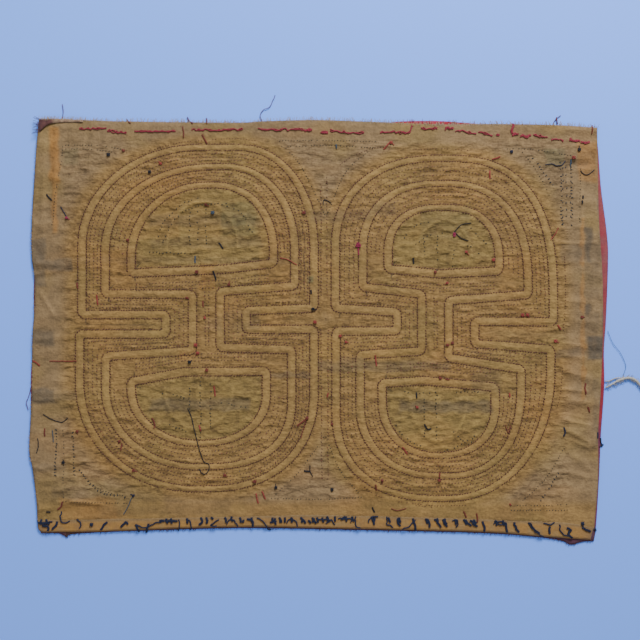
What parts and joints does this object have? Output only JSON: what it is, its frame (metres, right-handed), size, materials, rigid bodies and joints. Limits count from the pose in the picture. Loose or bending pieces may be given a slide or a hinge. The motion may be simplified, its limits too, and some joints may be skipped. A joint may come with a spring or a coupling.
{
  "type": "mola panel",
  "caption": "Rectangular reverse-applique cotton panel lying face down, its backing stitched with nested dome-shaped bands, with a sewn-on lower binding and a short tie string.",
  "frame": {"origin": "on the surface the panel lies on, under the middle of the panel, the tie string left out", "axes": "+X along the long side, towards the side with the tie string; +Y along the short side, away from the binding; +Z out of the surface"},
  "size_m": [0.4768, 0.3252, 0.0039],
  "materials": {
    "face_cloth": "matt red cotton",
    "backing_cloth": "matt ochre cotton",
    "edge_binding": "matt orange cotton",
    "corner_flap": "matt maroon cotton",
    "tie_string": "matt cream cotton string"
  },
  "bodies": {
    "root": {"face_cloth": "face_cloth", "backing_cloth": "backing_cloth", "edge_binding": "edge_binding", "corner_flap": "corner_flap", "tie_string": "tie_string"}
  },
  "joints": []
}
